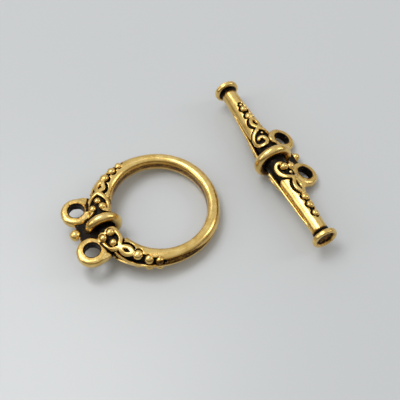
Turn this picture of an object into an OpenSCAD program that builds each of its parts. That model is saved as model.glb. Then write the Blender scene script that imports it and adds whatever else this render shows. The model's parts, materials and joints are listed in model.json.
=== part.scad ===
// Two-strand toggle clasp: an oval ring half and a bar half, each one casting.
// The ring half leans on its collar and on the far side of its band, and the
// bar half on its collar and on both of its loops, as they lie on a table.

/* [Strands] */
// Distance between the two strands, from hole centre to hole centre
strand_pitch = 5.9; // [5.4:0.1:7]
// Diameter of the ring half's strand holes
ring_hole = 2; // [1.7:0.1:2.2]
// Diameter of the bar half's strand holes
bar_hole = 1.9; // [1.6:0.1:2.1]
// Outer diameter of the ring half's loops
ring_loop_od = 3.75; // [3.5:0.05:4.2]
// Thickness of the ring half's loops
ring_loop_t = 1.2; // [1:0.1:1.5]
// Outer diameter of the bar half's loops
bar_loop_od = 3.5; // [3.3:0.05:4]
// Thickness of the bar half's loops
bar_loop_t = 1; // [0.9:0.1:1.3]
// Radius of the small ball between two loops
loop_ball_r = 0.62; // [0.5:0.02:0.7]

/* [Ring] */
// Length of the eye, in line with the collar
eye_length = 11.5; // [11:0.1:13]
// Width of the eye, across
eye_width = 12.4; // [11.5:0.1:14]
// Width of the plain band, seen from above
band_w = 1.6; // [1.4:0.1:1.8]
// Height of the plain band
band_h = 2.15; // [1.9:0.05:2.3]
// Width of the band under the ornament
shoulder_w = 2.8; // [2.5:0.1:3]
// Height of the band under the ornament
shoulder_h = 2.5; // [2.3:0.1:2.8]
// Outer radius of the hoop that goes round the band
ring_collar_r = 2.35; // [2.2:0.05:2.6]
// Distance from the middle of the band to the strand holes
ring_loop_reach = 2.4; // [2.3:0.05:2.8]

/* [Bar] */
// Length of the bar over its caps
bar_length = 25.5; // [24.5:0.5:30]
// Radius of the bar at its necks
neck_r = 1; // [0.9:0.05:1.2]
// Radius of the bar next to its collar
waist_r = 1.7; // [1.6:0.05:1.9]
// Radius of the end caps
cap_r = 1.48; // [1.3:0.02:1.6]
// Thickness of the end caps
cap_t = 0.7; // [0.6:0.05:0.9]
// Length of the neck groove behind a cap
neck_l = 0.35; // [0.25:0.05:0.5]
// Outer radius of the hoop round the middle of the bar
bar_collar_r = 2.5; // [2.4:0.05:2.8]
// Distance from the bar's axis to its strand holes
bar_loop_reach = 3.05; // [2.95:0.05:3.5]

/* [Ornament] */
// Distance along the band from the collar to the point of a heart
ring_heart = 4.25; // [3.9:0.05:4.6]
// Distance along the bar from its middle to the point of a heart
bar_heart = 4.35; // [4:0.05:4.7]
// Radius of the wire that the hearts and leaves are drawn with
wire_r = 0.2; // [0.17:0.01:0.22]
// Radius of the balls that the hearts' curls end in
curl_ball_r = 0.37; // [0.32:0.01:0.4]
// Radius of the largest bead of a row
bead_r = 0.52; // [0.44:0.02:0.56]
// Thickness of both hoops
hoop_t = 1.2; // [1:0.05:1.3]
// Depth of the ground behind the bar's ornament
ground_depth = 0.15; // [0.1:0.01:0.2]

/* [Layout] */
// Distance between the middle of the eye and the middle of the bar
layout_pitch = 15.1; // [14.5:0.5:24]
// Direction of the ring's collar, seen from above
ring_turn = 196.8; // [180:0.2:220]
// Direction of the bar, seen from above
bar_turn = -69.9; // [-90:0.1:-60]

/* [Hidden] */
$fn = 64;
hoop_r = hoop_t / 2;

// Where the ring half lies: leaning on its collar and on the far side of its band
eye_a = eye_length / 2;
eye_b = eye_width / 2;
band_far = eye_a + band_w / 2;
collar_at = eye_a + shoulder_w / 2;
ring_tilt = asin((ring_collar_r - band_h / 2) / (collar_at + band_far));
ring_z = ring_collar_r - collar_at * sin(ring_tilt);
ring_loops_at = collar_at + ring_loop_reach;

// Where the bar half lies: on its collar and on the outer edges of its loops
function loop_edge(t) = 0.43 * t;
loop_tip = bar_loop_reach + bar_loop_od / 2 - loop_edge(bar_loop_t);
loop_drop = bar_loop_t / 2 - loop_edge(bar_loop_t);
bar_roll = asin((bar_collar_r - loop_edge(bar_loop_t)) / norm([loop_tip, loop_drop])) - atan2(loop_drop, loop_tip);

// The two castings side by side, with the middle of both together at the origin
ring_x = -0.2768 * layout_pitch;
ring_y = -0.2733 * layout_pitch;
layout_turn = 15.88;
bar_x = ring_x + layout_pitch * cos(layout_turn);
bar_y = ring_y + layout_pitch * sin(layout_turn);

// Points along an arc, as steps of a polygon's outline
function arc(cx, cy, r, from, to, steps) =
    [for (i = [0:steps]) let (a = from + (to - from) * i / steps) [cx + r * cos(a), cy + r * sin(a)]];
function unit(v) = v / max(norm(v), 0.000001);
function mix(a, b, t) = a + (b - a) * t;

// A tube of wire along points, each with the direction that is up there
module wire(points, ups, r) {
    sides = 6;
    last = len(points) - 1;
    rings = [for (i = [0:last])
        let (along = unit(points[min(i + 1, last)] - points[max(i - 1, 0)]),
             side = unit(cross(ups[i], along)),
             up = cross(along, side))
        for (k = [0:sides - 1])
            let (a = 360 * (k + 0.5) / sides)
            points[i] + r * (cos(a) * side + sin(a) * up)];
    walls = [for (i = [0:last - 1], k = [0:sides - 1])
        let (n = (k + 1) % sides)
        [i * sides + k, (i + 1) * sides + k, (i + 1) * sides + n, i * sides + n]];
    polyhedron(points = rings, convexity = 6,
        faces = concat(walls, [[for (k = [0:sides - 1]) k]],
            [[for (k = [sides - 1:-1:0]) last * sides + k]]));
}

// One wire of a heart and its leaf, drawn flat: s is the way from the collar, q the way across.
// It runs from the leaf's tip to the heart's point, round the heart and into its curl.
// All but point and turn are shares of the distance from the collar to the heart's point.
function heart_wire(point, tip, leaf_w, curl_s, curl_q, curl_r, end_r, turn) =
    let (top = [curl_s, curl_q + curl_r],
         leaf = [for (i = [0:5]) let (t = i / 6) [mix(tip, 1, t), -leaf_w * sin(180 * t)]],
         side = [for (i = [0:4]) let (t = i / 5, u = 1 - t, pull = 0.45 * (1 - curl_s))
             pow(u, 3) * [1, 0] + 3 * u * u * t * ([1, 0] + pull * [-0.75, 0.75])
             + 3 * u * t * t * (top + pull * [0.9, 0]) + pow(t, 3) * top],
         curl = [for (i = [0:14]) let (t = i / 14, a = turn * t, r = mix(curl_r, end_r, t))
             [curl_s - r * sin(a), curl_q + r * cos(a)]])
    [for (p = concat(leaf, side, curl)) point * p];
// Where bead i of a row stands behind a leaf's tip, and each bead's share of the first one's radius
function bead_at(tip, i, step) = tip + bead_r * (1.1 + step * i);
bead_share = [1, 0.88, 0.76];
bead_step = 2.5;
wide_bead_step = 2.8;

// The band of the ring half: how far it has grown from plain (0) to shoulder (1) at an angle
function growth(a) = abs(a) < 15 ? 1 : abs(a) > 105 ? 0 : (1 + cos(2 * (abs(a) - 15))) / 2;
function half_w(a) = mix(band_w, shoulder_w, growth(a)) / 2;
function half_h(a) = mix(band_h, shoulder_h, pow(growth(a), 1.6)) / 2;
function eye_edge(a) = 1 / norm([cos(a) / eye_a, sin(a) / eye_b]);
function band_mid(a) = eye_edge(a) + half_w(a);
// A point of the band's section: lean goes from the top of the band outwards
function on_band(a, lean, lift) =
    let (out = band_mid(a) + (half_w(a) + lift) * flatter(sin(lean), sin(lean)),
         up = (half_h(a) + lift) * flatter(cos(lean), sin(lean)))
    [out * cos(a), out * sin(a), up];
// The eye's wall is flatter than the rest of the section
function flatter(share, outwards) = outwards < 0 ? sign(share) * pow(abs(share), 0.7) : share;
function band_up(a, lean) = unit([sin(lean) * cos(a), sin(lean) * sin(a), cos(lean)]);
// The ornament's line leaves the top of the band outwards as it goes away from the collar
ornament_r = collar_at + 0.18 * shoulder_w;
function line_lean(a) = 16 + 35 * pow(max(0, a - 15) / 55, 2);
function ring_angle(s) = s / ornament_r * 180 / PI;
function ring_lean(s, q) = line_lean(ring_angle(s)) + q / (shoulder_w / 2) * 180 / PI;
wire_lift = 0.25 * wire_r;

module ring_ball(s, q, lift, r) {
    translate(on_band(ring_angle(s), ring_lean(s, q), lift)) sphere(r = r);
}

// The heart, leaf and beads on one side of the collar; tip is where the leaf ends, as a share
ring_curl_s = 0.5;
ring_curl_q = 0.185;
ring_curl_r = 0.068;
module ring_ornament(tip, step) {
    path = heart_wire(point = ring_heart, tip = tip, leaf_w = 0.09, curl_s = ring_curl_s,
        curl_q = ring_curl_q, curl_r = ring_curl_r, end_r = ring_curl_r, turn = 180);
    for (side = [-1, 1]) {
        wire([for (p = path) on_band(ring_angle(p[0]), ring_lean(p[0], side * p[1]), wire_lift)],
            [for (p = path) band_up(ring_angle(p[0]), ring_lean(p[0], side * p[1]))], wire_r);
        ring_ball(ring_heart * ring_curl_s, side * ring_heart * (ring_curl_q - ring_curl_r), wire_lift, curl_ball_r);
    }
    ring_ball(0.775 * ring_heart, 0, wire_lift, 0.95 * curl_ball_r);
    for (i = [0:2])
        ring_ball(bead_at(tip * ring_heart, i, step), 0, -0.1 * bead_r, bead_r * bead_share[i]);
}

// The thin ridge round the outside of the band, between the upper and the lower ornament
module ring_ridge() {
    steps = [for (i = [0:9]) 16 + 6 * i];
    wire([for (a = steps) on_band(a, 90, 0)], [for (a = steps) band_up(a, 90)], 0.7 * wire_r);
}

module band() {
    steps = 72;
    sides = 18;
    points = [for (i = [0:steps - 1], k = [0:sides - 1])
        on_band(-180 + 360 * (i + 0.5) / steps, 360 * k / sides, 0)];
    faces = [for (i = [0:steps - 1], k = [0:sides - 1])
        let (j = (i + 1) % steps, n = (k + 1) % sides)
        for (f = [[i * sides + k, j * sides + k, j * sides + n], [i * sides + k, j * sides + n, i * sides + n]]) f];
    polyhedron(points = points, faces = faces, convexity = 6);
}

module hoop(r) {
    rotate_extrude() translate([r - hoop_r, 0]) circle(r = hoop_r);
}

// A flat loop in the plane of z = 0 round a strand hole
module strand_loop(od, hole, t) {
    edge = loop_edge(t);
    round_at = od / 2 - edge;
    rotate_extrude()
        polygon(concat(
            [[hole / 2, -t / 2]],
            arc(round_at, edge - t / 2, edge, -90, 0, 5),
            arc(round_at, t / 2 - edge, edge, 0, 90, 5),
            [[hole / 2, t / 2]]));
}

module strand_holes(at, hole, t) {
    for (side = [-1, 1])
        translate([at, side * strand_pitch / 2, -t]) cylinder(d = hole, h = 2 * t);
}

// The plate between two loops, into the middle of their walls, that carries the small ball
module web(reach, od, hole, t) {
    wide = strand_pitch - (od + hole) / 2;
    translate([0, -wide / 2, -0.32 * t]) cube([reach, wide, 0.64 * t]);
}

module toggle_ring() color("goldenrod")
translate([ring_x, ring_y, ring_z]) rotate([0, 0, ring_turn]) rotate([0, -ring_tilt, 0])
difference() {
    union() {
        band();
        for (v = [0, 1], under = [0, 1]) mirror([0, v, 0]) mirror([0, 0, under])
            ring_ornament(under == 1 ? 1.34 : 1.43, v == 1 ? wide_bead_step : bead_step);
        for (v = [0, 1]) mirror([0, v, 0]) ring_ridge();
        translate([collar_at, 0, 0]) rotate([90, 0, 0]) hoop(ring_collar_r);
        for (side = [-1, 1]) translate([ring_loops_at, side * strand_pitch / 2, 0])
            strand_loop(ring_loop_od, ring_hole, ring_loop_t);
        translate([collar_at, 0, 0]) web(ring_loop_reach + 1.45 * loop_ball_r, ring_loop_od, ring_hole, ring_loop_t);
        translate([ring_loops_at + 1.85 * loop_ball_r, 0, 0]) sphere(r = loop_ball_r);
    }
    strand_holes(ring_loops_at, ring_hole, ring_loop_t);
}

// The bar half, with its axis along x, its loops towards +y and its ornament up and down
neck_at = bar_length / 2 - cap_t - neck_l;
function rod_r(x) = mix(neck_r, waist_r, pow(max(0, (neck_at - x) / neck_at), 1.6));
function rod_outline(depth) = [for (i = [0:14]) let (x = neck_at * i / 14) [x, rod_r(x) - depth]];

module turned(points) {
    rotate([0, 90, 0]) rotate_extrude() polygon([for (p = points) [p[1], p[0]]]);
}

module rod_half(depth) {
    turned(concat([[-0.1, 0], [-0.1, waist_r - depth]], rod_outline(depth), [[neck_at, 0]]));
}

module cap() {
    x = bar_length / 2;
    rim = 0.5 * cap_t;
    turned(concat([[neck_at - neck_l, 0], [neck_at - neck_l, 0.84 * neck_r], [x - cap_t, 0.84 * neck_r]],
        [for (p = arc(x - rim, cap_r - rim, rim, 180, 0, 8)) [p[0], p[1]]],
        [[x - 0.32 * cap_t, 0.5 * cap_r], [x - 0.43 * cap_t, 0]]));
}

// The opening in the rod's skin that shows the ground: wide at the heart, narrow along the beads
module panel(end) {
    h = bar_heart;
    round_r = 1.15 * bead_r;
    linear_extrude(height = 2 * waist_r)
        polygon(concat([[0.07 * h, -1.2 * waist_r], [0.67 * h, -1.2 * waist_r], [0.8 * h, -0.68 * waist_r]],
            [[1.08 * h, -round_r]], arc(end - round_r, 0, round_r, -90, 90, 6), [[1.08 * h, round_r]],
            [[0.8 * h, 0.68 * waist_r], [0.67 * h, 1.2 * waist_r], [0.07 * h, 1.2 * waist_r]]));
}
function panel_end(tip, count) = bead_at(tip * bar_heart, count - 1, bead_step) + 1.25 * bead_r;

function bar_angle(s, q) = q / rod_r(s) * 180 / PI;
function on_rod(s, q, lift) =
    let (a = bar_angle(s, q), r = rod_r(s) - ground_depth + lift) [s, r * sin(a), r * cos(a)];
function rod_up(s, q) = let (a = bar_angle(s, q)) [0, sin(a), cos(a)];

module bar_ball(s, q, r) {
    translate(on_rod(s, q, 0.35 * ground_depth)) sphere(r = r);
}

module bar_beads(tip, count) {
    for (i = [0:count - 1])
        bar_ball(bead_at(tip * bar_heart, i, bead_step), 0, 0.85 * bead_r * bead_share[i]);
    for (side = [-1, 1]) bar_ball(0.55 * bar_heart, side * 0.19 * bar_heart, 0.85 * curl_ball_r);
    bar_ball(0.85 * bar_heart, 0, 0.6 * curl_ball_r);
}

module bar_wires(tip) {
    path = heart_wire(point = bar_heart, tip = tip, leaf_w = 0.096, curl_s = 0.55,
        curl_q = 0.2, curl_r = 0.21, end_r = 0.062, turn = 430);
    for (side = [-1, 1])
        wire([for (p = path) on_rod(p[0], side * p[1], wire_lift)],
            [for (p = path) rod_up(p[0], side * p[1])], 1.1 * wire_r);
}

// The thin ridge along the bar opposite its loops, between the upper and the lower ornament
module bar_ridge() {
    steps = [for (i = [0:8]) bar_heart * (0.07 + 0.115 * i)];
    wire([for (x = steps) [x, -rod_r(x) + ground_depth, 0]], [for (x = steps) [0, -1, 0]], 0.9 * wire_r);
}

// One half of the bar: on its upper face the first half has a shorter leaf and one bead fewer
long_tip = 1.494;
short_tip = 1.425;
module bar_half(first) {
    rod_half(ground_depth);
    difference() {
        rod_half(0);
        panel(first ? panel_end(short_tip, 2) : panel_end(long_tip, 3));
        mirror([0, 0, 1]) panel(panel_end(long_tip, 3));
    }
    cap();
    bar_ridge();
    for (under = [0, 1]) mirror([0, 0, under]) {
        short = first && under == 0;
        bar_wires(short ? short_tip : long_tip);
        bar_beads(short ? short_tip : long_tip, short ? 2 : 3);
    }
}

module toggle_bar() color("goldenrod")
translate([bar_x, bar_y, bar_collar_r]) rotate([0, 0, bar_turn]) rotate([-bar_roll, 0, 0])
difference() {
    union() {
        for (end = [0, 1]) mirror([end, 0, 0]) bar_half(end == 1);
        rotate([0, 90, 0]) hoop(bar_collar_r);
        for (side = [-1, 1]) translate([side * strand_pitch / 2, bar_loop_reach, 0])
            strand_loop(bar_loop_od, bar_hole, bar_loop_t);
        rotate([0, 0, 90]) web(bar_loop_reach + 0.5 * loop_ball_r, bar_loop_od, bar_hole, bar_loop_t);
        translate([0, bar_loop_reach + 0.9 * loop_ball_r, 0]) sphere(r = 0.75 * loop_ball_r);
    }
    rotate([0, 0, 90]) mirror([0, 1, 0]) strand_holes(bar_loop_reach, bar_hole, bar_loop_t);
}

toggle_ring();
toggle_bar();
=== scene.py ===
# %% [markdown]
# # A cast toggle clasp
# The clasp has two loose halves: an oval ring and a bar that passes through it.
# Each was cast in one piece from a carved model, blackened, and polished on its crests,
# so its looks come from rounded relief and from what the polishing could not reach.
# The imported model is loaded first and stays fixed. The castings are built round its named
# sizes and set down on its strand holes.

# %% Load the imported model
import json
import math

import bpy
import numpy as np
from mathutils import Matrix, Vector, noise


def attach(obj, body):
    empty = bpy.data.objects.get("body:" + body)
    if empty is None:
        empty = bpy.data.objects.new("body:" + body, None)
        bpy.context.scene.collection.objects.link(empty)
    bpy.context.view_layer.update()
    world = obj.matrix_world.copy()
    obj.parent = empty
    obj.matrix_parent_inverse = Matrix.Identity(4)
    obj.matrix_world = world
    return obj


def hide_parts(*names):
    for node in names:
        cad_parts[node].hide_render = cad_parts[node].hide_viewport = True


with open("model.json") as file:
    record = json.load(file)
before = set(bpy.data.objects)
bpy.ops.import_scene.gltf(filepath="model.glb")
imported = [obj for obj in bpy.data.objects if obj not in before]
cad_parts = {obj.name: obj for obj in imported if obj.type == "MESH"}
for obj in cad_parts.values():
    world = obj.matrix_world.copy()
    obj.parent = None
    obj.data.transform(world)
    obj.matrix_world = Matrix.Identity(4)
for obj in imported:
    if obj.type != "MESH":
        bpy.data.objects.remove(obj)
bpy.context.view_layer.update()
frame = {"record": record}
MM = 0.001

# %% [markdown]
# ## Sizes
# All sizes are in millimetres, and one that both halves share is written once. The plain
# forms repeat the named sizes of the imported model, but the caps and the small balls are
# laid a little larger. The ornament's wires are flat-topped and the ground behind them lies
# deeper than in the model, because here they carry the looks.

# %% Sizes shared by both halves
strand_pitch = 5.9
loop_ball_r = 0.69
hoop_r = 0.6
wire_across, wire_high, wire_sink = 0.275, 0.25, -0.1
ground_depth = 0.32
skin_gap = 0.27
skin_edge = 0.05
print("the strands stand", strand_pitch, "mm apart")

# %% Sizes of the ring half
eye_a, eye_b = 11.5 / 2, 12.4 / 2
band_w, band_h = 1.6, 2.15
shoulder_w, shoulder_h = 2.8, 2.5
ring_hoop_r = 2.35
ring_loop_od, ring_hole, ring_loop_t = 3.75, 2.0, 1.2
ring_loop_reach = 2.4
collar_at = eye_a + shoulder_w / 2
ring_loops_at = collar_at + ring_loop_reach
print("the ring's loops stand", ring_loops_at, "mm from the middle of the eye")

# %% Sizes of the bar half
bar_length = 25.5
neck_r, waist_r, cap_r = 1.0, 1.7, 1.57
cap_t, neck_l = 0.7, 0.35
bar_hoop_r = 2.5
bar_loop_od, bar_hole, bar_loop_t = 3.5, 1.9, 1.0
bar_loop_reach = 3.05
neck_at = bar_length / 2 - cap_t - neck_l
print("the rod ends", round(neck_at, 2), "mm from the middle of the bar")

# %% [markdown]
# ## Where each half lies
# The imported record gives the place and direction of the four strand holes.
# Two holes fix a half completely: the line between them, the direction along them,
# and the known distance from them to the middle of the eye or to the bar's axis.
# Each half is then modelled straight in its own frame and set down in one step.

# %% Read the two poses from the strand holes
holes = {m["name"]: m for m in frame["record"]["mounts"]}


def between(front, back):
    """The middle of two holes, the direction from back to front, and the holes' own direction."""
    a, b = Vector(holes[front]["pos_m"]) / MM, Vector(holes[back]["pos_m"]) / MM
    return (a + b) / 2, (a - b).normalized(), Vector(holes[front]["axis"]).normalized()


def pose(x, y, z, origin):
    """The place of something with its three axes along x, y and z."""
    m = Matrix((x, y, z)).transposed().to_4x4()
    m.translation = origin
    return m


middle, across, up = between("ring_strand_front", "ring_strand_back")
outwards = across.cross(up)
ring_pose = pose(outwards, across, up, middle - ring_loops_at * outwards)
middle, along, up = between("bar_strand_front", "bar_strand_back")
loopwards = up.cross(along)
bar_pose = pose(along, loopwards, up, middle - bar_loop_reach * loopwards)
print("middle of the eye", [round(v, 2) for v in ring_pose.translation])
print("middle of the bar", [round(v, 2) for v in bar_pose.translation])

# %% [markdown]
# ## Camera
# The camera looks down at 58 degrees from 108 mm away, turned a little about its own axis.
# The lens and the distance were fitted to the object's own round holes and mirrored
# ornament, so a point on the model falls on the same point of the picture.

# %% Camera
view_elevation, view_roll = math.radians(58.08), math.radians(-7.37)
view_target = Vector((0.846, -2.813, 0)) * MM
view_distance = 107.96 * MM
sensor_mm, lens_mm = 36, 78.52
nearest, farthest = 0.005, 5


def placed(name, data):
    """A new object that shows the data, linked to the scene."""
    thing = bpy.data.objects.new(name, data)
    bpy.context.collection.objects.link(thing)
    return thing


camera = placed("camera", bpy.data.cameras.new("camera"))
level = Vector((1, 0, 0))
to_camera = Vector((0, -math.cos(view_elevation), math.sin(view_elevation)))
flat_up = level.cross(-to_camera)
image_right = math.cos(view_roll) * level + math.sin(view_roll) * flat_up
image_up = math.cos(view_roll) * flat_up - math.sin(view_roll) * level
camera.matrix_world = pose(image_right, image_up, to_camera, view_target + view_distance * to_camera)
camera.data.sensor_width, camera.data.lens = sensor_mm, lens_mm
camera.data.clip_start, camera.data.clip_end = nearest, farthest
bpy.context.scene.camera = camera
bpy.context.scene.view_settings.view_transform = "Standard"
print("camera at", [round(v / MM, 1) for v in camera.location])

# %% [markdown]
# ## Writing shaders as sums
# A finish is easier to read as arithmetic than as a list of nodes. One small class wraps a
# socket, and Python's operators on it add Math nodes. Any other node comes from `add`.

# %% The socket class and the node maker


class Socket:
    """A shader socket that Python's operators work on."""

    def __init__(self, tree, out):
        self.tree, self.out = tree, out

    def math(self, operation, *others, clamp=False):
        numbered = dict(enumerate((self, *others)))
        return add(self.tree, "ShaderNodeMath", numbered, operation=operation, use_clamp=clamp)

    def __add__(self, other):
        return self.math("ADD", other)

    def __sub__(self, other):
        return self.math("SUBTRACT", other)

    def __rsub__(self, other):
        return (self * -1).math("ADD", other)

    def __mul__(self, other):
        return self.math("MULTIPLY", other)

    __radd__, __rmul__ = __add__, __mul__

    def clamped(self):
        return self.math("ADD", 0.0, clamp=True)


def add(tree, kind, inputs=None, output=0, **settings):
    """Adds one node: its settings first, then values or links on its sockets."""
    node = tree.nodes.new(kind)
    for name, value in settings.items():
        if name == "stops":
            ramp = node.color_ramp.elements
            while len(ramp) < len(value):
                ramp.new(0.5)
            for stop, (at, colour) in zip(ramp, value):
                stop.position, stop.color = at, (*colour, 1)
        else:
            setattr(node, name, value)
    for name, value in (inputs or {}).items():
        if isinstance(value, Socket):
            tree.links.new(value.out, node.inputs[name])
        else:
            node.inputs[name].default_value = value
    return Socket(tree, node.outputs[output]) if node.outputs else None


def blank(owner):
    """The empty node tree of a material or a world."""
    owner.use_nodes = True
    owner.node_tree.nodes.clear()
    return owner.node_tree


print("sockets now take +, - and *")

# %% [markdown]
# ## The floor
# A plain pale surface with a slight gloss. The object rests at z = 0, so the floor does too.

# %% Floor
floor_half = 1.2
floor_corners = [(x * floor_half, y * floor_half, 0) for x, y in ((-1, -1), (1, -1), (1, 1), (-1, 1))]
floor_mesh = bpy.data.meshes.new("floor")
floor_mesh.from_pydata(floor_corners, [], [(0, 1, 2, 3)])
floor = placed("floor", floor_mesh)
floor_finish = bpy.data.materials.new("pale_floor")
tree = blank(floor_finish)
pale = add(tree, "ShaderNodeBsdfPrincipled", {"Base Color": (0.555, 0.575, 0.588, 1), "Roughness": 0.3})
add(tree, "ShaderNodeOutputMaterial", {"Surface": pale})
floor_mesh.materials.append(floor_finish)
print("floor", 2 * floor_half, "m square")

# %% [markdown]
# ## Soft boxes
# Polished metal shows what is round it, so the place and size of a lamp matter more than
# its strength. The main soft box hangs above, a little to the left and behind: on each
# bead it makes one soft spot up and to the left of the middle. Two weaker ones stand low on
# the left and the right and draw the light lines along the outer edges.

# %% Soft boxes
box_distance_mm = 420


def soft_box(name, direction, size_mm, watts):
    """A rectangular lamp that shines on the clasp from one direction."""
    light = bpy.data.lights.new(name, "AREA")
    light.shape, light.size, light.size_y = "RECTANGLE", size_mm[0] * MM, size_mm[1] * MM
    light.energy = watts
    box = placed(name, light)
    box.location = Vector(direction).normalized() * box_distance_mm * MM
    box.rotation_euler = (-box.location).to_track_quat("-Z", "Y").to_euler()


soft_box("key_box", (-0.32, 0.22, 0.93), size_mm=(260, 200), watts=0.72)
soft_box("side_box", (-0.85, -0.1, 0.5), size_mm=(170, 170), watts=0.16)
soft_box("edge_box", (0.84, 0.03, 0.49), size_mm=(90, 200), watts=0.2)

# %% [markdown]
# ## The room round the table
# A studio is bright above and behind the table and dark on the camera's side. Walls of the
# band that face the camera mirror that dark side, which is why they look brown.

# %% The room
brighter_behind = 0.32
room = bpy.data.worlds.new("room")
bpy.context.scene.world = room
tree = blank(room)
direction = add(tree, "ShaderNodeTexCoord", output="Generated")
towards_back = add(tree, "ShaderNodeSeparateXYZ", {"Vector": direction}, output="Y")
upwards = add(tree, "ShaderNodeSeparateXYZ", {"Vector": direction}, output="Z")
sky = add(tree, "ShaderNodeValToRGB", {"Fac": upwards + towards_back * brighter_behind}, stops=[
    (0.1, (0.17, 0.14, 0.10)), (0.36, (0.48, 0.44, 0.37)),
    (0.64, (0.66, 0.66, 0.65)), (1.0, (0.69, 0.70, 0.71))])
glow = add(tree, "ShaderNodeBackground", {"Color": sky, "Strength": 1.0})
add(tree, "ShaderNodeOutputWorld", {"Surface": glow})
print("the room's light has", len(tree.nodes), "nodes")

# %% [markdown]
# ## Closed shells
# A casting is one solid, but it is easiest to think of as simple closed shells that
# overlap: a band, a hoop, loops, wires and balls. Each helper here makes one shell as
# points and faces. They are merged into one skin afterwards, as wax parts are before casting.

# %% Grids and turned forms


def smooth(low, high, x):
    """0 below low, 1 above high, and an even rise between them; low may be the larger."""
    t = np.clip((np.asarray(x, float) - low) / (high - low), 0, 1)
    return t * t * (3 - 2 * t)


def grid(points, close_rows):
    """A shell from rows of points that close on themselves; open ends get a flat face."""
    rows, cols = points.shape[:2]
    i, j = np.meshgrid(np.arange(rows if close_rows else rows - 1), np.arange(cols), indexing="ij")
    n, m = (i + 1) % rows, (j + 1) % cols
    faces = np.stack([i * cols + j, n * cols + j, n * cols + m, i * cols + m], -1).reshape(-1, 4).tolist()
    if not close_rows:
        faces += [list(range(cols)), [(rows - 1) * cols + k for k in reversed(range(cols))]]
    return points.reshape(-1, 3), faces


def turned(outline, steps=128):
    """A closed outline of (radius, height) pairs turned about z."""
    outline = np.array(outline, float)
    a = np.linspace(0, 2 * np.pi, steps, endpoint=False)[:, None]
    r, h = outline[None, :, 0], outline[None, :, 1]
    return grid(np.stack([r * np.cos(a), r * np.sin(a), h + 0 * a], -1), True)


def rounded(r, h, radius, start, end, steps=9):
    """A rounded stretch of such an outline: an arc about (r, h), its ends in degrees."""
    angles = np.radians(np.linspace(start, end, steps))
    return [(r + radius * math.cos(angle), h + radius * math.sin(angle)) for angle in angles]


print("a turned washer has", len(turned([(1, 0), (2, 0), (2, 1), (1, 1)])[1]), "faces")

# %% Balls, beads and wires


def ball(centre, r):
    """A ball, with a tiny flat face at each pole."""
    steps, pole = 36, 0.02
    t = np.linspace(pole, np.pi - pole, steps // 2)[:, None]
    a = np.linspace(0, 2 * np.pi, steps, endpoint=False)[None, :]
    points = np.stack([np.sin(t) * np.cos(a), np.sin(t) * np.sin(a), np.cos(t) + 0 * a], -1)
    return grid(np.array(centre) + r * points, False)


def button(centre, up, r, share=0.75):
    """A ball flattened along up, as a bead is once it has been polished."""
    points, faces = ball((0, 0, 0), r)
    up = np.ravel(up)
    return points - (1 - share) * np.outer(points @ up, up) + np.ravel(centre), faces


def unit(v):
    """Directions of length 1."""
    return v / np.maximum(np.linalg.norm(v, axis=-1, keepdims=True), 1e-9)


def wire(points, ups, across, high):
    """A flat-topped wire; it reaches `across` to both sides of points, and `high` up and down."""
    sides, squareness = 20, 0.55
    ahead = unit(np.gradient(points, axis=0))
    side = unit(np.cross(ups, ahead))
    top = np.cross(ahead, side)
    a = np.linspace(0, 2 * np.pi, sides, endpoint=False)[None, :, None]
    over, up = (np.sign(v) * np.abs(v) ** squareness for v in (np.cos(a), np.sin(a)))
    across, high = (np.broadcast_to(v, len(points))[:, None, None] for v in (across, high))
    return grid(points[:, None] + across * over * side[:, None] + high * up * top[:, None], False)


print("a ball has", len(ball((0, 0, 0), 1)[1]), "faces")

# %% Moving and mirroring


def moved(shell, matrix):
    """The shell set down by a matrix."""
    points, faces = shell
    m = np.array(matrix)
    return points @ m[:3, :3].T + m[:3, 3], faces


def mirrored(shell, factors):
    """The shell with x, y and z each times 1 or -1."""
    points, faces = shell
    return points * np.array(factors), faces


high_ball = moved(ball((0, 0, 0), 1), Matrix.Translation((0, 0, 2)))
print("a ball moved up by 2 reaches", high_ball[0].max().round(2))

# %% [markdown]
# ## Hearts, leaves and beads
# The ornament is the same idea on both halves: two wires rise together as a leaf, part at
# the heart's point, run round its two lobes and curl in, with balls and beads along the
# middle line. It is drawn flat first, with s the way from the hoop and q the way across,
# and then laid on a surface. The carver drew each heart anew, so each has its own curl:
# tight hooks on the ring, an open hook on one arm of the bar and a full spiral on the other.

# %% Draw an ornament flat


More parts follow.
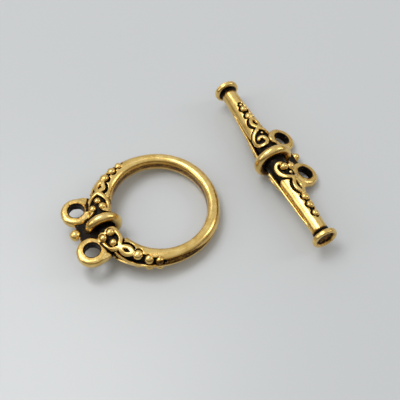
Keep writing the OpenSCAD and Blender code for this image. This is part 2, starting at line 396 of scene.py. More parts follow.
class Ornament:
    """A heart with its leaf and beads, drawn flat; lengths in millimetres.

    point, tip: where the heart's point and the leaf's tip lie along s
    curl: middle (s, q), first and last radius, and turn in degrees of the wire's curl
    ball_r: radius of the ball at the curl's end, or in its middle where the curl hugs it
    dot, beads: place and radius of the ball inside the heart and of each bead
    drift: the carver's middle line, as places s and ways aside q
    outer: how the outer lobe departs: nearer to the hoop, wider, and further out
    """

    def __init__(self, point, tip, leaf_w, curl, ball_r, dot, beads, drift, lobe_pull=(-0.55, 0.75),
                 hugs=False, outer=(0.0, 0.0, 0.0), across=wire_across):
        self.point, self.tip, self.ball_r, self.dot, self.drift = point, tip, ball_r, dot, drift
        self.beads, self.outer, self.across = beads, outer, across
        curl_s, curl_q, curl_r, end_r, turn = curl
        # A leaf, then one cubic curve round the lobe, then the curl
        leaf_steps, curl_steps = 24, 60
        t = np.linspace(0, 1, leaf_steps)[:-1]
        leaf = np.stack([tip + (point - tip) * t, -leaf_w * np.sin(np.pi * t)], -1)
        start, top = np.array([point, 0.0]), np.array([curl_s, curl_q + curl_r])
        pull = 0.62 * (point - curl_s)
        after_start, before_top = start + pull * np.array(lobe_pull), top + np.array([0.9 * pull, 0])
        u, t = 1 - t[:, None], t[:, None]
        side = u**3 * start + 3 * u * u * t * after_start + 3 * u * t * t * before_top + t**3 * top
        a = np.radians(np.linspace(0, turn, curl_steps))
        r = np.linspace(curl_r, end_r, curl_steps)
        hook = np.stack([curl_s - r * np.sin(a), curl_q + r * np.cos(a)], -1)
        self.path = np.concatenate([leaf, side, hook])
        self.ball_at = (curl_s, curl_q) if hugs else tuple(self.path[-1])
        self.last = beads[-1][0] + beads[-1][1] + skin_gap

    def carved(self, side, s, q):
        """One side of the heart; side 1 is the outer one, whose lobe may be carved differently."""
        share = smooth(self.point - 0.2, self.point - 1.6, s) * (side > 0)
        along, wider, aside = self.outer
        return s + along * share, side * (q * (1 + wider * share) + aside * share)

    def middle(self, s):
        """Where the carver's middle line runs: it wanders a little from the true one."""
        return np.interp(s, *self.drift)

    def half_width(self, s, thickness):
        """How far the ornament reaches from its middle line: the outline the skin keeps clear of."""
        window, stem = 0.16, 0.2
        stations = np.linspace(self.path[:, 0].min(), self.path[:, 0].max(), 110)
        near = np.abs(self.path[:, 0][None, :] - stations[:, None]) < window
        reach = np.where(near, np.abs(self.path[:, 1])[None, :], 0).max(1)
        width = np.interp(s, stations, reach + thickness, left=reach[0] + thickness, right=0)
        for at, r in self.beads:
            width = np.maximum(width, np.sqrt(np.maximum(r * r - (s - at) ** 2, 0)))
        beaded = (s > self.tip - 0.3) & (s < self.beads[-1][0])
        return np.where(beaded, np.maximum(width, stem), width)


# %% The four hearts
ring_beads = [(6.68, 0.58), (8.05, 0.53), (9.24, 0.47)]
ring_near = Ornament(
    point=4.35, tip=6.1, leaf_w=0.5, curl=(2.05, 0.54, 0.6, 0.43, 165), ball_r=0.51, hugs=True,
    dot=(3.32, 0.43), beads=ring_beads,
    drift=((0, 3.4, 4.4, 5.4, 6.7, 8.0), (0.15, 0.12, 0.02, -0.08, -0.19, 0.04)))
ring_far = Ornament(
    point=4.35, tip=6.1, leaf_w=0.47, curl=(2.17, 0.94, 0.55, 0.5, 185), ball_r=0.46,
    dot=(3.22, 0.42), beads=ring_beads, outer=(-0.22, 0.33, 0.0),
    drift=((0, 3.2, 4.4, 6.7, 8.1, 9.3), (-0.05, -0.22, -0.15, -0.18, -0.45, -0.6)))
bar_hook = Ornament(
    point=4.05, tip=6.4, leaf_w=0.54, curl=(2.2, 1.04, 0.57, 0.48, 192), ball_r=0.52, across=0.24,
    dot=(3.2, 0.22), beads=[(6.92, 0.52), (8.12, 0.5), (9.38, 0.45)], lobe_pull=(-0.2, 0.85),
    drift=((0, 12), (0.12, 0.12)))
bar_spiral = Ornament(
    point=4.42, tip=6.2, leaf_w=0.48, curl=(2.4, 0.74, 0.95, 0.38, 305), ball_r=0.24, across=0.23,
    dot=(3.55, 0.18), beads=[(6.74, 0.5), (8.1, 0.46), (8.86, 0.2)], outer=(0.0, 0.0, 0.45),
    drift=((0, 5, 8), (-0.2, -0.2, -0.22)))
print("one wire of the bar's spiral has", len(bar_spiral.path), "points")

# %% [markdown]
# ## The band of the ring half
# The band is plain and slim on its far side and grows towards the hoop. Its section is
# round outside and flatter towards the eye, so `on_band` takes an angle round the eye and a
# lean from the top of the band outwards, both in degrees. Where the ornament lies, the
# smooth skin stops and a lower ground shows: it holds the black, so it is real depth here.

# %% The band's surface
full_until, plain_from = 15, 105


def growth(a):
    """1 where the band is full, next to the hoop, falling to 0 where it is plain."""
    a = np.abs(a)
    falling = 180 / (plain_from - full_until) * (a - full_until)
    return np.where(a < full_until, 1, np.where(a > plain_from, 0, (1 + np.cos(np.radians(falling))) / 2))


def half_w(a):
    """Half the band's width."""
    return (band_w + (shoulder_w - band_w) * growth(a)) / 2


def half_h(a):
    """Half the band's height; it grows later than the width does."""
    return (band_h + (shoulder_h - band_h) * growth(a) ** 1.6) / 2


def band_mid(a):
    """Radius of the band's middle line, which keeps clear of the oval eye."""
    r = np.radians(a)
    return 1 / np.sqrt((np.cos(r) / eye_a) ** 2 + (np.sin(r) / eye_b) ** 2) + half_w(a)


def flatter(share, outwards):
    """Flattens the half of the section that faces the eye."""
    return np.where(outwards < 0, np.sign(share) * np.abs(share) ** 0.7, share)


def on_band(a, lean, lift):
    """Points on the band, raised by lift."""
    r, t = np.radians(a), np.radians(lean)
    out = band_mid(a) + (half_w(a) + lift) * flatter(np.sin(t), np.sin(t))
    high = (half_h(a) + lift) * flatter(np.cos(t), np.sin(t))
    return np.stack([out * np.cos(r), out * np.sin(r), high], -1)


def band_up(a, lean):
    """The direction away from the band's middle line."""
    r, t = np.radians(a), np.radians(lean)
    return np.stack([np.sin(t) * np.cos(r), np.sin(t) * np.sin(r), np.cos(t)], -1)


print("the band is", 2 * half_w(0.0), "mm wide at the hoop and", 2 * half_w(180.0), "mm on its far side")

# %% Lay out the ornament, the ridge and the ground on the band
ornament_r = collar_at + 0.18 * shoulder_w
lean_at_hoop, lean_gain, lean_span = 16, 35, 55
ridge_leaves = ((4.0, 4.5, 6.0, 7.2), (55, 65, 83, 90))
all_ground_to, some_skin_from = 3.8, 4.0


def ring_angle(s):
    """The angle round the eye, in degrees, at s along the ornament."""
    return np.degrees(s / ornament_r)


def ring_lean(s, q):
    """The ornament starts near the top at the hoop and lies further out along the band."""
    line = lean_at_hoop + lean_gain * (np.maximum(0, ring_angle(s) - full_until) / lean_span) ** 2
    return line + np.degrees(q / (shoulder_w / 2))


def ridge_lean(s):
    """The ridge leaves the heart's side high on the band and comes down to its outer line."""
    return np.interp(s, *ridge_leaves)


def band_ground(a, lean):
    """1 where the ground shows on the band, 0 where its smooth skin does."""
    s = np.radians(np.abs(a)) * ornament_r
    folded = np.where(np.abs(lean) > 90, np.sign(lean) * 180 - lean, lean)
    ground = np.zeros(np.broadcast(a, lean).shape)
    for far, ornament in ((False, ring_near), (True, ring_far)):
        q = np.radians(folded - ring_lean(s, ornament.middle(s))) * shoulder_w / 2
        width = ornament.half_width(s, wire_across) + skin_gap
        inside = smooth(-skin_edge, skin_edge, width - np.abs(q)) * (s < ornament.last)
        outer = smooth(-skin_edge, skin_edge, q) * smooth(ornament.last, ornament.last - 0.5, s)
        hub = smooth(some_skin_from, all_ground_to, s)
        ground = np.where((a < 0) == far, np.maximum(np.maximum(inside, outer), hub), ground)
    return ground


print("the ornament ends", round(float(ring_angle(ring_near.last))), "degrees round the eye")

# %% Shape the band with its sunk ground
band_steps, band_sides = 760, 160
a = -180 + 360 * (np.arange(band_steps) + 0.5)[:, None] / band_steps
lean = -180 + 360 * (np.arange(band_sides) + 0.5)[None, :] / band_sides
ring_ground = band_ground(a, lean)
band = grid(on_band(a + 0 * lean, lean + 0 * a, -ground_depth * ring_ground), True)
print("band", len(band[1]), "faces,", round(100 * float(ring_ground.mean())), "percent of it ground")

# %% [markdown]
# ## Loops, hoops and the plate between loops
# A strand loop is a thick washer with a straight bore and well rounded edges. The hoop is a
# plain torus. A low plate joins two loops and carries a small ball. Where a loop runs into
# its half, metal is drawn out to a thin point, as happens where a mould was cut.

# %% Loops, hoops and plate


def strand_loop(od, hole, t):
    """A washer with a well rounded outside; only a small lip rounds its bore."""
    edge, lip = 0.36 * t, 0.07 * t
    outer_r, bore_r = od / 2 - edge, hole / 2 + lip
    outline = rounded(bore_r, -t / 2 + lip, lip, 180, 270)
    outline += rounded(outer_r, -t / 2 + edge, edge, 270, 360)
    outline += rounded(outer_r, t / 2 - edge, edge, 0, 90)
    outline += rounded(bore_r, t / 2 - lip, lip, 90, 180)
    return turned(outline)


def hoop(outer_r, axis):
    """A plain torus, turned about z and then tipped a quarter turn about the axis."""
    angle = np.linspace(0, 2 * np.pi, 40, endpoint=False)
    shell = turned(np.stack([outer_r - hoop_r + hoop_r * np.cos(angle), hoop_r * np.sin(angle)], -1), 160)
    return moved(shell, Matrix.Rotation(math.radians(90), 4, axis))


def plate(reach, od, hole, t):
    """A low plate between two loops, from x = 0 out to reach."""
    half, thick = (strand_pitch - (od + hole) / 2) / 2, 0.2 * t
    corners = ((0, -half), (reach, -half), (reach, half), (0, half))
    return grid(np.array([[(x, y, z) for x, y in corners] for z in (-thick, thick)], float), False)


def drawn_out(path, across, high):
    """A point of metal at mid height, drawn out of a loop."""
    points = np.array([(x, y, 0.0) for x, y in path])
    return wire(points, np.tile([0.0, 0.0, 1.0], (len(path), 1)), across, high)


print("a strand loop has", len(strand_loop(ring_loop_od, ring_hole, ring_loop_t)[1]), "faces")

# %% [markdown]
# ## The ring half's shells
# The two halves of the band mirror each other about the hoop, above and below, so one
# loop over the four corners lays a heart, its leaf and its beads on each of them. The bores
# are laid a little small, because softening opens them.

# %% Gather the ring half
ring_bore_gain = 0.08
beak_path = ((8.9, 4.28), (8.35, 4.22), (7.85, 4.08), (7.4, 3.88), (7.1, 3.7))
beak_across, beak_high = (0.42, 0.42, 0.36, 0.26, 0.12), (0.5, 0.5, 0.42, 0.3, 0.14)
at_collar = Matrix.Translation((collar_at, 0, 0))
ring_shells = [band, moved(hoop(ring_hoop_r, "X"), at_collar)]
for side in (-1, 1):
    loop = strand_loop(ring_loop_od, ring_hole - ring_bore_gain, ring_loop_t)
    ring_shells.append(moved(loop, Matrix.Translation((ring_loops_at, side * strand_pitch / 2, 0))))
    ring_shells.append(mirrored(drawn_out(beak_path, beak_across, beak_high), (1, side, 1)))
ring_web_reach = 2.3 + 1.3 * loop_ball_r
ring_web = plate(ring_web_reach, ring_loop_od, ring_hole, ring_loop_t)
ring_shells.append(moved(ring_web, at_collar))
ring_shells.append(ball((ring_loops_at + 1.6 * loop_ball_r, 0, 0), loop_ball_r))
print("ring half:", len(ring_shells), "plain shells")

# %% Lay the ornament and the ridge on the ring half
dot_lift, bead_lift, curl_ball_lift = -0.02, -0.1, 0.02
ball_share = 0.85
ridge_start, ridge_thins, ridge_stops = 4.15, 10, 19


def lay_on_band(ornament, side, s, q, lift):
    """Points of an ornament on the band, and the band's upward direction there."""
    s, q = ornament.carved(side, np.asarray(s, float), q)
    angle, tilt = ring_angle(s), ring_lean(s, ornament.middle(s) + q)
    return on_band(angle, tilt, lift), band_up(angle, tilt)


ridge_s = np.linspace(ridge_start, ridge_stops, 200)
ridge_a, ridge_t = ring_angle(ridge_s), ridge_lean(ridge_s)
fading = smooth(ridge_thins, ridge_stops, ridge_s)
ridge_line = on_band(ridge_a, ridge_t, -0.06 - 0.1 * fading)
ridge = wire(ridge_line, band_up(ridge_a, ridge_t), 0.16 - 0.05 * fading, 0.17)
for far, ornament in ((False, ring_near), (True, ring_far)):
    dot_at, dot_r = ornament.dot
    parts = [button(*lay_on_band(ornament, 1, dot_at, 0, dot_lift), dot_r, ball_share)]
    parts += [button(*lay_on_band(ornament, 1, at, 0, bead_lift), r) for at, r in ornament.beads]
    for side in (-1, 1):
        line, ups = lay_on_band(ornament, side, ornament.path[:, 0], ornament.path[:, 1], wire_sink)
        parts.append(wire(line, ups, wire_across, wire_high))
        curl_end = lay_on_band(ornament, side, *ornament.ball_at, curl_ball_lift)
        parts.append(button(*curl_end, ornament.ball_r, ball_share))
    parts.append(ridge)
    ring_shells += [mirrored(part, (1, -1 if far else 1, above)) for part in parts for above in (1, -1)]
print("ring half:", len(ring_shells), "shells in all")

# %% [markdown]
# ## The rod of the bar half
# The rod is thick at the hoop and thins to a neck at each end. Its skin has the same sunk
# ground, and between ornament and ridge the skin starts in a rounded end, like a tongue.
# The ridge was cut a little below the line opposite the loops, so it shows from above only
# where the rod is thick.

# %% The rod's surface
ridge_turn = math.radians(-106)
under_shift = 0.3
tongue_gap = 0.3
tongue = {"hook": (3.66, 0.72), "spiral": (3.05, 0.15)}
ridge_starts = {"hook": 1.75, "spiral": 0.9}
ridge_ends = {"hook": 10.6, "spiral": 8.6}


def rod_r(x):
    """Radius of the rod."""
    return neck_r + (waist_r - neck_r) * (np.maximum(0, neck_at - np.abs(x)) / neck_at) ** 1.6


def on_rod(s, q, lift):
    """Points on the rod, raised by lift."""
    turn, r = q / rod_r(s), rod_r(s) + lift
    return np.stack([s, r * np.sin(turn), r * np.cos(turn)], -1)


def rod_ground(x, turn):
    """1 where the ground shows on the rod; turn goes from the upper face's middle line to the loops."""
    s, r = np.abs(x), rod_r(x)
    under = np.abs(turn) > np.pi / 2
    folded = np.where(under, np.sign(turn) * np.pi - turn, turn)
    from_ridge = np.abs(turn - ridge_turn) * r
    ground = np.zeros(np.broadcast(x, turn).shape)
    for kind, ornament, here in (("hook", bar_hook, x >= 0), ("spiral", bar_spiral, x < 0)):
        q = folded * r - ornament.middle(s) - under_shift * under
        width = ornament.half_width(s, wire_across) + skin_gap
        inside = smooth(-skin_edge, skin_edge, width - np.abs(q))
        inside = inside * smooth(ornament.last, ornament.last - 0.12, s)
        reach = 0.42 - 0.2 * smooth(3, 5.5, s)
        channel = smooth(reach + skin_edge, reach - skin_edge, from_ridge)
        channel = channel * smooth(ridge_ends[kind], ridge_ends[kind] - 2, s)
        start, round_r = tongue[kind]
        past = np.hypot(np.maximum(start + round_r - s, 0), np.maximum(round_r + tongue_gap - from_ridge, 0))
        hub = smooth(round_r - skin_edge, round_r + skin_edge, past) * (s < start + round_r)
        ground = np.where(here, np.maximum.reduce([inside, channel, hub]), ground)
    return ground


print("the rod is", 2 * rod_r(0.0), "mm thick in the middle and", 2 * rod_r(neck_at), "mm at its ends")

# %% Shape the rod with its sunk ground
rod_steps, rod_sides = 640, 240
x = np.linspace(-neck_at, neck_at, rod_steps)[:, None]
turn = -np.pi + 2 * np.pi * (np.arange(rod_sides) + 0.5)[None, :] / rod_sides
bar_ground = rod_ground(x, turn)
r = rod_r(x) - ground_depth * bar_ground
rod = grid(np.stack([x + 0 * turn, r * np.sin(turn), r * np.cos(turn)], -1), False)
print("rod", len(rod[1]), "faces,", round(100 * float(bar_ground.mean())), "percent of it ground")

# %% [markdown]
# ## The bar half's shells
# The caps are turned, with a thin rounded rim round a deep dish. Each arm of the bar gets
# its own heart above and below, and a ridge. Underneath, the ornament lies a little nearer
# to the loops. One loop's foot is drawn out along the rod.

# %% Turn a cap
rim_r, back_r = 0.24, 0.3
dish_floor = ((cap_r - 0.6, 0.46), (0.4 * cap_r, 0.32), (0.0, 0.28))
cap_outline = [(0.0, -neck_l), (0.82 * neck_r, -neck_l), (0.82 * neck_r, neck_l)]
cap_outline += rounded(cap_r - back_r, neck_l + back_r, back_r, -90, 30, 12)
cap_outline += rounded(cap_r - rim_r, neck_l + cap_t - rim_r, rim_r, 10, 150, 10)
cap_outline += [(radius, neck_l + share * cap_t) for radius, share in dish_floor]
cap = turned(cap_outline)
print("cap", len(cap[1]), "faces")

# %% Lay the ornament and the ridges on the rod
rod_dot_lift, rod_bead_lift, rod_ball_lift = -0.15, -0.12, -0.08
round_share, bead_share = 1.0, 0.75


def square_to(points):
    """The rod's own upward direction at points on it."""
    return unit(points * np.array([0, 1, 1]))


def lay_on_rod(ornament, shift, s, q, lift):
    """Points of an ornament on the rod, and the rod's upward direction there."""
    points = on_rod(s, ornament.middle(s) + shift + q, lift)
    return points, square_to(points)


def ridge_on_rod(kind):
    """The ridge of one arm; it sinks into the skin over its last two millimetres."""
    last_s = ridge_ends[kind] - 0.2
    s = np.linspace(ridge_starts[kind], last_s, 70)
    line = on_rod(s, ridge_turn * rod_r(s), -0.04 - 0.1 * smooth(last_s - 2, last_s, s))
    return wire(line, square_to(line), 0.19 - 0.08 * smooth(2.5, 6.5, s), 0.18)


def heart_on_rod(ornament, shift):
    """The balls, beads and wires of one heart with its leaf, moved towards the loops by shift."""
    (dot_at, dot_r), ball_r = ornament.dot, ornament.ball_r
    spots = [(dot_at, 0, dot_r, rod_dot_lift, round_share)]
    spots += [(at, 0, bead_r, rod_bead_lift, bead_share) for at, bead_r in ornament.beads]
    for side in (-1, 1):
        spots.append((*ornament.carved(side, *ornament.path[-1]), ball_r, rod_ball_lift, round_share))
    parts = []
    for s, q, size, lift, share in spots:
        parts.append(button(*lay_on_rod(ornament, shift, s, q, lift), size, share))
    for side in (-1, 1):
        s, q = ornament.carved(side, *ornament.path.T)
        parts.append(wire(*lay_on_rod(ornament, shift, s, q, wire_sink), ornament.across, wire_high))
    return parts


print("a heart of the bar has", len(heart_on_rod(bar_hook, 0)), "shells")

# %% Gather the bar half
bar_bore_gain = 0.06
foot_path = ((4.2, 2.5), (4.5, 2.05), (4.68, 1.65), (4.82, 1.3), (5.05, 0.95))
foot_across, foot_high = (0.4, 0.4, 0.34, 0.26, 0.12), (0.4, 0.4, 0.34, 0.26, 0.14)
bar_shells = [rod, hoop(bar_hoop_r, "Y")]
for end, kind, ornament in ((1, "hook", bar_hook), (-1, "spiral", bar_spiral)):
    turn_out = Matrix.Translation((end * neck_at, 0, 0)) @ Matrix.Rotation(math.radians(90 * end), 4, "Y")
    bar_shells.append(moved(cap, turn_out))
    loop = strand_loop(bar_loop_od, bar_hole - bar_bore_gain, bar_loop_t)
    bar_shells.append(moved(loop, Matrix.Translation((end * strand_pitch / 2, bar_loop_reach, 0))))
    if kind == "hook":
        bar_shells.append(drawn_out(foot_path, foot_across, foot_high))
    bar_shells.append(mirrored(ridge_on_rod(kind), (end, 1, 1)))
    for above, shift in ((1, 0), (-1, under_shift)):
        bar_shells += [mirrored(part, (end, 1, above)) for part in heart_on_rod(ornament, shift)]
quarter = Matrix.Rotation(math.radians(90), 4, "Z")
bar_web = plate(bar_loop_reach + 0.5 * loop_ball_r, bar_loop_od, bar_hole, bar_loop_t)
bar_shells.append(moved(bar_web, quarter))
bar_shells.append(ball((0, bar_loop_reach + 0.9 * loop_ball_r, 0), 0.75 * loop_ball_r))
print("bar half:", len(bar_shells), "shells")

# %% [markdown]
# ## Casting: from shells to one skin
# Overlapping shells are not a solid yet. A voxel remesh makes one closed skin round all of
# them, and a little smoothing rounds every root as cast metal does. Blender's smallest voxel
# is a ten-thousandth of its unit, which is too coarse for this relief where the unit is a
# metre, so the remesh is done with 1 unit = 1 mm.

# %% Cast the shells
voxel_mm = 0.041


def outward(shell):
    """The shell with its faces turned outwards: its enclosed volume comes out positive."""
    points, faces = shell
    quads = np.array([f for f in faces if len(f) == 4])
    a, b, c, d = (points[quads[:, k]] for k in range(4))
    volume = (np.cross(a, b) * c).sum() + (np.cross(a, c) * d).sum()
    for end_face in (f for f in faces if len(f) > 4):
        ring = points[end_face]
        volume += (np.cross(ring[0], ring[1:-1]) * ring[2:]).sum()
    return points, faces if volume > 0 else [f[::-1] for f in faces]


def apply_modifiers(piece):
    """Gives a piece the mesh that its modifiers make."""
    graph = bpy.context.evaluated_depsgraph_get()
    shown = piece.evaluated_get(graph)
    mesh = bpy.data.meshes.new_from_object(shown, preserve_all_data_layers=True, depsgraph=graph)
    piece.modifiers.clear()
    piece.data = mesh


def cast(name, shells):
    """One closed skin round all the shells."""
    points, faces, start = [], [], 0
    for p, f in map(outward, shells):
        points.append(p)
        faces += [[start + k for k in face] for face in f]
        start += len(p)
    mesh = bpy.data.meshes.new(name)
    mesh.from_pydata(np.concatenate(points).tolist(), [], faces)
    piece = placed(name, mesh)
    remesh = piece.modifiers.new("one_skin", "REMESH")
    remesh.mode, remesh.voxel_size = "VOXEL", voxel_mm
    soften = piece.modifiers.new("soften", "SMOOTH")
    soften.factor, soften.iterations = 0.5, 2
    apply_modifiers(piece)
    print(name, "is one skin of", len(piece.data.polygons), "faces")
    return piece


ring_cast = cast("ring_cast", ring_shells)
bar_cast = cast("bar_cast", bar_shells)

# %% [markdown]
# ## Where the black stays
# After casting the whole clasp is blackened and then tumbled. The black survives on sunk
# ground, at roots and in bores, and thins to brown beside them. It is worked out here for
# each point from its depth below the skin and from how hollow the surface is round it, and
# stored on the mesh, so the finish follows the real form from every side. The two numbers
# in a call of `smooth` are where a patch begins and where it is full: lengths are in
# millimetres and angles in degrees. The polishing ran along each half, so each point also
# keeps its place with the length squeezed, and noise drawn on that comes out as streaks.
# On the ring's band the stored black also holds painted shade: the wall towards the eye and the outer wall
# facing the camera are darkened as they lie in shade and mirror the dark side of the room.

# %% Measure hollows and crests
hollow_rounds = 55
ground_depths, root_hollows, crest_rises = (0.06, 0.13), (0.055, 0.1), (0.01, 0.08)
squeeze = 0.15


def coordinates(mesh):
    """The points of a mesh and their normals."""
    points = np.empty(3 * len(mesh.vertices), dtype=np.float32)
    mesh.vertices.foreach_get("co", points)
    normals = np.empty(3 * len(mesh.vertices), dtype=np.float32)
    mesh.vertex_normals.foreach_get("vector", normals)
    return points.reshape(-1, 3).astype(float), normals.reshape(-1, 3).astype(float)


def hollowness(mesh):
    """How far the surface lies under its own smoothed copy, in millimetres."""
    points, normals = coordinates(mesh)
    size = len(points)
    ends = np.empty(2 * len(mesh.edges), dtype=np.int32)
    mesh.edges.foreach_get("vertices", ends)
    a, b = ends[0::2], ends[1::2]
    count = np.bincount(a, minlength=size) + np.bincount(b, minlength=size)
    flowing = points.copy()
    for _ in range(hollow_rounds):
        sums = [np.bincount(a, flowing[b, k], size) + np.bincount(b, flowing[a, k], size) for k in range(3)]
        flowing = 0.4 * flowing + 0.6 * np.stack(sums, -1) / count[:, None]
    return ((flowing - points) * normals).sum(1)


ring_hollow, bar_hollow = hollowness(ring_cast.data), hollowness(bar_cast.data)
print("hollows of the ring half", np.percentile(ring_hollow, (1, 25, 50, 75, 99)).round(3), "mm")

# %% Patches that both halves have


def strand_bore(x, y, centres, hole):
    """1 on the walls of two bores along z at centres (x, y)."""
    away = [np.hypot(x - centre_x, y - centre_y) for centre_x, centre_y in centres]
    return smooth(0.12, 0.03, np.minimum(*away) - hole / 2)


def hoop_foot(outer_r, from_axis, along_axis):
    """1 at the foot of a hoop, 0 on its polished crest and off the hoop."""
    middle_r = outer_r - hoop_r
    off = np.abs(np.hypot(from_axis - middle_r, along_axis) - hoop_r)
    return smooth(middle_r + 0.36, middle_r + 0.02, from_axis) * smooth(0.12, 0.08, off)


def blackened(depth_patch, hollow, *patches):
    """The black of a half: its ground, its roots and any other patches, each at its strongest."""
    return np.maximum.reduce([depth_patch, smooth(*root_hollows, hollow), *patches])


print("roots are black from", root_hollows[1], "mm hollow")

# %% Find the ring half's ground and bores
points, _ = coordinates(ring_cast.data)
x, y, z = points.T
angle = np.degrees(np.arctan2(y, x))
out = np.hypot(x, y) - band_mid(angle)
tilt = np.degrees(np.arctan2(out / half_w(angle), z / half_h(angle)))
skin = on_band(angle, tilt, 0.0)
skin_out = np.hypot(skin[:, 0], skin[:, 1]) - band_mid(angle)
depth = np.hypot(skin_out, skin[:, 2]) - np.hypot(out, z)
ornament_reach = 9.5
sunk = smooth(*ground_depths, depth) * (np.hypot(x - collar_at, y) < ornament_reach)
bore = strand_bore(x, y, ((ring_loops_at, strand_pitch / 2), (ring_loops_at, -strand_pitch / 2)), ring_hole)
bore *= x > collar_at
ring_ways = np.stack([out, z, squeeze * eye_a * np.radians(angle % 360)], -1)
print("ring half: ground on", round(100 * float((sunk > 0.5).mean())), "percent of its points")

# %% Tarnish the ring half's walls, plate and roots, and paint shade on its walls
# The wall towards the eye, clear of the hoop: partly tarnish, partly painted shade and painted dark
# reflection
inner_wall_tarnish_and_shade = smooth(-52, -68, tilt) * smooth(-116, -90, tilt)
inner_wall_tarnish_and_shade *= smooth(20, 50, np.abs(angle)) * (np.abs(out) < 1.2 * half_w(angle))
# The outer wall past the beads: partly tarnish, partly a painted reflection of the dark room on the camera's
# side; it gets narrower and lighter towards the far side
top_line = 38 + 34 * smooth(85, 135, np.abs(angle))
outer_wall_tarnish_and_reflection = smooth(top_line, top_line + 10, tilt) * smooth(87, 81, tilt) * smooth(58, 68, np.abs(angle))
outer_wall_tarnish_and_reflection *= (0.5 + 0.08 * smooth(68, 80, tilt)) * (1 - 0.45 * smooth(105, 145, np.abs(angle)))
outer_wall_tarnish_and_reflection *= smooth(160, 150, np.abs(angle))
# The plate between the loops
web = smooth(0.34, 0.28, np.abs(z)) * (x > collar_at + 1.2)
web *= smooth(1.45, 1.3, np.abs(y)) * smooth(ring_loops_at + 0.85, ring_loops_at + 0.7, x)
# Where the loops run into the band, no higher than the loops and off the hoop
off_wall = out - half_w(angle)
loop_root = smooth(0.32, 0.12, off_wall) * smooth(-0.16, -0.06, off_wall) * smooth(4.7, 4.4, np.abs(y))
loop_root *= (np.hypot(y, z) > ring_hoop_r + 0.04) * smooth(0.68, 0.62, np.abs(z))
loop_root *= x > collar_at
# The hoop's foot, except towards the eye
foot = hoop_foot(ring_hoop_r, np.hypot(x - collar_at, z), y)
foot *= smooth(collar_at - 1.6, collar_at - 0.5, x)
ring_black_and_shade = blackened(sunk, ring_hollow, 0.5 * foot, bore, 0.5 * inner_wall_tarnish_and_shade, outer_wall_tarnish_and_reflection, web, loop_root)
print("ring half: black on", round(100 * float((ring_black_and_shade > 0.5).mean())), "percent of its points")

# %% Blacken the bar half
points, normals = coordinates(bar_cast.data)
x, y, z = points.T
reach, along = np.hypot(y, z), np.abs(x)
depth = rod_r(x) - reach
sunk = smooth(*ground_depths, depth) * (along < neck_at - 0.05)
bore = strand_bore(x, y, ((strand_pitch / 2, bar_loop_reach), (-strand_pitch / 2, bar_loop_reach)), bar_hole)
bore *= y > 1.95
# The dish of a cap, darker towards its rim
dish = smooth(0.1, 0.2, neck_at + neck_l + cap_t - along) * smooth(cap_r - 0.3, cap_r - 0.42, reach)
dish *= (along > neck_at + neck_l) * smooth(0.2, 0.6, np.abs(normals[:, 0]))
dish *= 0.5 + 0.22 * smooth(0.55, 0.95, reach / (cap_r - 0.4))
# The groove behind a cap
neck = smooth(neck_at - 0.3, neck_at - 0.08, along) * smooth(1.14, 1.06, reach)
neck *= along < neck_at + neck_l + 0.2
# The plate between the loops
web = smooth(0.3, 0.24, np.abs(z)) * smooth(1.45, 1.3, along)
web *= (y > 1.6) * smooth(bar_loop_reach + 0.25, bar_loop_reach + 0.1, y)
# The hoop's foot, except towards the loops
foot = hoop_foot(bar_hoop_r, reach, x) * smooth(1.8, 0.8, y)
bar_black = blackened(sunk, bar_hollow, 0.5 * foot, bore, dish, neck, 0.95 * web)
bar_ways = np.stack([y, z, squeeze * x], -1)
print("bar half: black on", round(100 * float((bar_black > 0.5).mean())), "percent of its points")

# %% [markdown]
# ## A hand-worked surface
# No cast and tumbled surface is perfectly even. A slow noise moves each point by about a
# hundredth of a millimetre, which makes the long highlights waver. The sunk ground was never
# polished, so there a finer and stronger noise keeps the grain of the mould.

# %% Roughen the dense skins and store the patina on them
waver_size, waver_height = 1.3, 0.016
mould_size, mould_height = 0.2, 0.03


def roughen(piece, black, hollow, ways):
    """Moves a skin's points by noise and stores its black, its crests and its streak places."""
    points, normals = coordinates(piece.data)
    waver = np.array([noise.noise(Vector(p)) for p in points / waver_size])
    grainy = np.nonzero(black > 0.6)[0]
    mould = np.zeros(len(points))
    mould[grainy] = [noise.noise(Vector(p)) for p in points[grainy] / mould_size]
    offset = waver_height * waver + mould_height * mould * smooth(0.6, 1.0, black)
    piece.data.vertices.foreach_set("co", (points + offset[:, None] * normals).astype(np.float32).ravel())
    crest = smooth(*crest_rises, -hollow)
    patina = np.stack([np.clip(black, 0, 1), np.clip(crest, 0, 1), 0 * black], -1)
    for layer, values in (("patina", patina), ("lengthways", ways)):
        stored = piece.data.color_attributes.new(layer, "FLOAT_COLOR", "POINT")
        stored.data.foreach_set("color", np.insert(values, 3, 1, axis=1).astype(np.float32).ravel())
    piece.data.shade_smooth()
    piece.data.update()
    print(piece.name, "has the grain of its mould on", len(grainy), "points")


roughen(ring_cast, ring_black_and_shade, ring_hollow, ring_ways)
roughen(bar_cast, bar_black, bar_hollow, bar_ways)

# %% [markdown]
# ## Thinning without losing the shine
# The dense skins hold more faces than a library part should. They are thinned, and the
# thinned skins borrow the dense ones' surface directions, patina and painted shade, so a
# highlight runs over them as smoothly as before.

# %% Thin both skins and set them down
triangle_budget = 185000


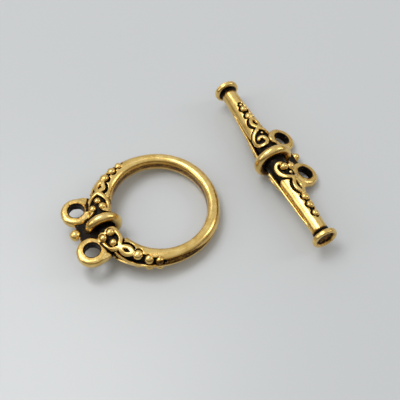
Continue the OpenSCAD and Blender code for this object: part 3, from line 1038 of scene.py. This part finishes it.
def thinned(name, dense, place):
    """The thin skin of a half, in metres, set down where it lies; the dense one is deleted."""
    piece = placed(name, dense.data.copy())
    thin = piece.modifiers.new("thin_out", "DECIMATE")
    # Each face of the dense skin counts as two triangles
    thin.ratio = min(1.0, triangle_budget / (2 * len(dense.data.polygons)))
    borrow = piece.modifiers.new("borrow", "DATA_TRANSFER")
    borrow.object = dense
    borrow.use_loop_data, borrow.data_types_loops = True, {"CUSTOM_NORMAL"}
    borrow.loop_mapping = "POLYINTERP_NEAREST"
    borrow.use_vert_data, borrow.data_types_verts = True, {"COLOR_VERTEX"}
    borrow.vert_mapping = "POLYINTERP_NEAREST"
    apply_modifiers(piece)
    bpy.data.objects.remove(dense)
    piece.data.transform(Matrix.Scale(MM, 4) @ place)
    piece.data.name = name
    piece.data.calc_loop_triangles()
    lies = np.array([v.co for v in piece.data.vertices]) / MM
    print(name, "keeps", len(piece.data.loop_triangles), "triangles and lies from",
          lies.min(0).round(2), "to", lies.max(0).round(2))
    return piece


ring_half = thinned("ring_half", ring_cast, ring_pose)
bar_half = thinned("bar_half", bar_cast, bar_pose)

# %% [markdown]
# ## Antique gold
# One finish does for both castings. The stored black goes through a ramp from pale gold
# over brown to black, broken up by noise so that its edge is never a clean line. Black oxide
# is not metal, so the metallic value falls with it while the roughness rises. Fine grain and
# stains in the satin come from noise in millimetres, fixed to the object.

# %% Where the black, the stains and the streaks lie
antique_gold = bpy.data.materials.new("antique_gold")
tree = blank(antique_gold)


def mottled(place, scale, detail, roughness):
    """Noise on a place in millimetres, between 0 and 1 and mostly near a half."""
    settings = {"Vector": place, "Scale": scale, "Detail": detail, "Roughness": roughness}
    return add(tree, "ShaderNodeTexNoise", settings)


place_in_m = add(tree, "ShaderNodeTexCoord", output="Object")
place_in_mm = add(tree, "ShaderNodeVectorMath", {"Vector": place_in_m, "Scale": 1 / MM}, operation="SCALE")
# The stored black is oxide, and on the ring's walls it is also painted shade and painted dark reflection
patina = add(tree, "ShaderNodeAttribute", attribute_name="patina")
black = add(tree, "ShaderNodeSeparateColor", {"Color": patina}, output="Red")
crest = add(tree, "ShaderNodeSeparateColor", {"Color": patina}, output="Green")
lengthways = add(tree, "ShaderNodeAttribute", output="Vector", attribute_name="lengthways")
stains = mottled(place_in_mm, 0.9, 4.0, 0.6)
specks = mottled(place_in_mm, 6.0, 3.0, 0.65)
grain = mottled(place_in_mm, 5.0, 2.5, 0.6)
streaks = mottled(lengthways, 5.0, 2.0, 0.55)
ragged = (specks - 0.5) * (black * 1.4 + 0.04)
flecks = ((grain - 0.6) * 8.0).clamped() * black * 0.55
uneven = (stains - 0.5) * (black * 0.4 + 0.08) + (streaks - 0.5) * (black * 0.5 + 0.12)
tarnish_and_shade = (black * 1.05 + ragged + uneven - crest * 0.05).clamped() - flecks
print("tarnish takes", len(tree.nodes), "nodes")

# %% The antique gold finish
gold = add(tree, "ShaderNodeValToRGB", {"Fac": stains + (streaks - 0.5) * 0.5}, stops=[
    (0.3, (0.70, 0.45, 0.12)), (0.5, (0.83, 0.575, 0.185)), (0.7, (0.92, 0.67, 0.26))])
# This ramp darkens the gold for oxide, and on the ring's walls for painted shade
aged_and_shaded = add(tree, "ShaderNodeValToRGB", {"Fac": tarnish_and_shade}, stops=[
    (0.05, (1.0, 1.0, 1.0)), (0.22, (0.86, 0.74, 0.54)), (0.42, (0.40, 0.27, 0.13)),
    (0.57, (0.06, 0.04, 0.03)), (0.7, (0.012, 0.01, 0.011)), (1.0, (0.006, 0.005, 0.007))])
# A Mix node has its factor at socket 0, its two colours at 6 and 7, and their mix at output 2
colour = add(tree, "ShaderNodeMix", {0: 1.0, 6: gold, 7: aged_and_shaded}, output=2,
             data_type="RGBA", blend_type="MULTIPLY")
metal = 1 - (tarnish_and_shade * 2.0 - 1.0).clamped() * 0.3
lacquer = 0.2 - tarnish_and_shade * 0.2
satin = 0.24 + (streaks - 0.5) * 0.16 + (specks - 0.5) * 0.08 + (stains - 0.5) * 0.08
dull = (satin + tarnish_and_shade * 0.2).clamped()
height = grain * (0.2 + black * 1.6) + specks * (0.3 + black * 1.6) + streaks * 0.5
bump = add(tree, "ShaderNodeBump", {"Strength": 0.22, "Distance": 0.03 * MM, "Height": height})
surface = add(tree, "ShaderNodeBsdfPrincipled", {
    "Base Color": colour, "Metallic": metal, "Roughness": dull, "Coat Weight": lacquer,
    "Coat Roughness": 0.2, "Specular IOR Level": 0.4, "Normal": bump})
add(tree, "ShaderNodeOutputMaterial", {"Surface": surface})
print("antique gold uses", len(tree.nodes), "nodes")

# %% [markdown]
# ## Finish
# Each casting gets the antique gold finish, hangs from the root body and stands for its node of the imported
# model, which is hidden.

# %% Finish both castings and hide their imported parts
for piece, node in ((ring_half, "toggle_ring"), (bar_half, "toggle_bar")):
    piece.data.materials.clear()
    piece.data.materials.append(antique_gold)
    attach(piece, "root")
    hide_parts(node)
